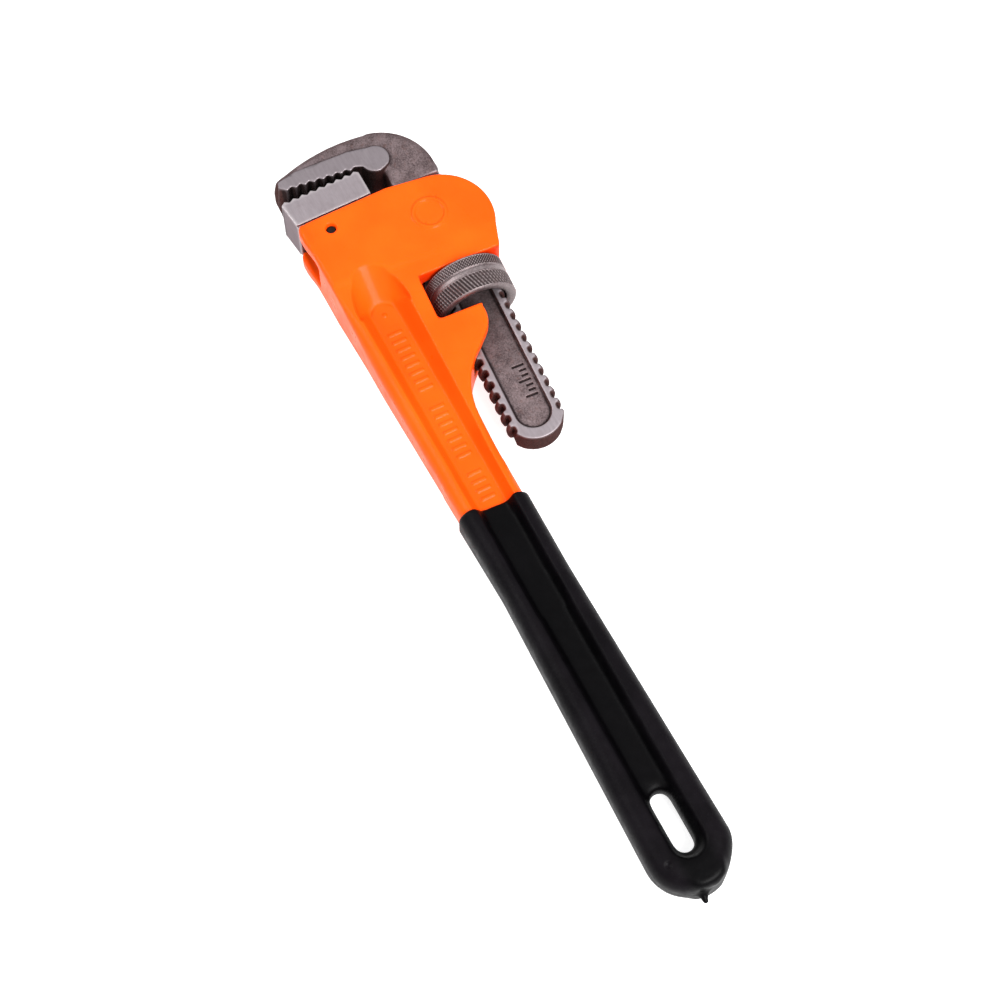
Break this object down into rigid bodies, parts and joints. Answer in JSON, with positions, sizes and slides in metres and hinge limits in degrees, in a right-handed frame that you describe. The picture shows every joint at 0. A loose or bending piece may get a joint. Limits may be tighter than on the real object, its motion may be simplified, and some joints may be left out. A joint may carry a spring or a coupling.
{
  "type": "pipe wrench",
  "caption": "Adjustable pipe wrench with a cast handle, dipped vinyl grip, sliding hook jaw, knurled nut and toothed heel jaw.",
  "frame": {"origin": "centre of the hanging slot, halfway through the handle's thickness", "axes": "+X along the handle towards the jaws, +Y towards the open mouth of the jaws, +Z out of the broad face"},
  "size_m": [0.3579, 0.0791, 0.035],
  "materials": {
    "painted_casting": "glossy orange enamel over a slightly rough casting",
    "dipped_vinyl": "satin black dipped vinyl",
    "ground_steel": "ground steel with fine parallel scratches",
    "forged_steel": "dark forged steel with ground tooth block and thread crests",
    "nut_steel": "dark knurled steel",
    "pin_steel": "dark oiled steel",
    "spring_steel": "bright spring steel"
  },
  "bodies": {
    "handle_body": {"handle": "painted_casting", "grip": "dipped_vinyl", "heel_jaw": "ground_steel", "heel_jaw_pin": "pin_steel"},
    "spring_carrier": {"flat_spring": "spring_steel", "spring_rivet": "pin_steel", "coil_spring": "spring_steel"},
    "hook": {"hook_jaw": "forged_steel"},
    "nut": {"adjusting_nut": "nut_steel"}
  },
  "joints": [
    {"name": "jaw_rock", "type": "hinge", "parent": "handle_body", "child": "spring_carrier", "pos_m": [0.22291, -0.02477, 0], "axis": [0, 0, 1], "range_deg": [0, 2], "stiffness_Nm_per_rad": 8, "springref_deg": -4.58, "deforming": ["coil_spring"]},
    {"name": "jaw_slide", "type": "slide", "parent": "spring_carrier", "child": "hook", "axis": [0.9982, -0.0593, 0], "range_m": [0, 0.05]},
    {"name": "nut_spin", "type": "hinge", "parent": "spring_carrier", "child": "nut", "pos_m": [0.2382, -0.0372, 0], "axis": [0.9982, -0.0593, 0], "range_deg": [-3300, 60]}
  ],
  "couplings": [
    {"joint": "nut_spin", "follows": "jaw_slide", "rad_per_m": -1122}
  ]
}
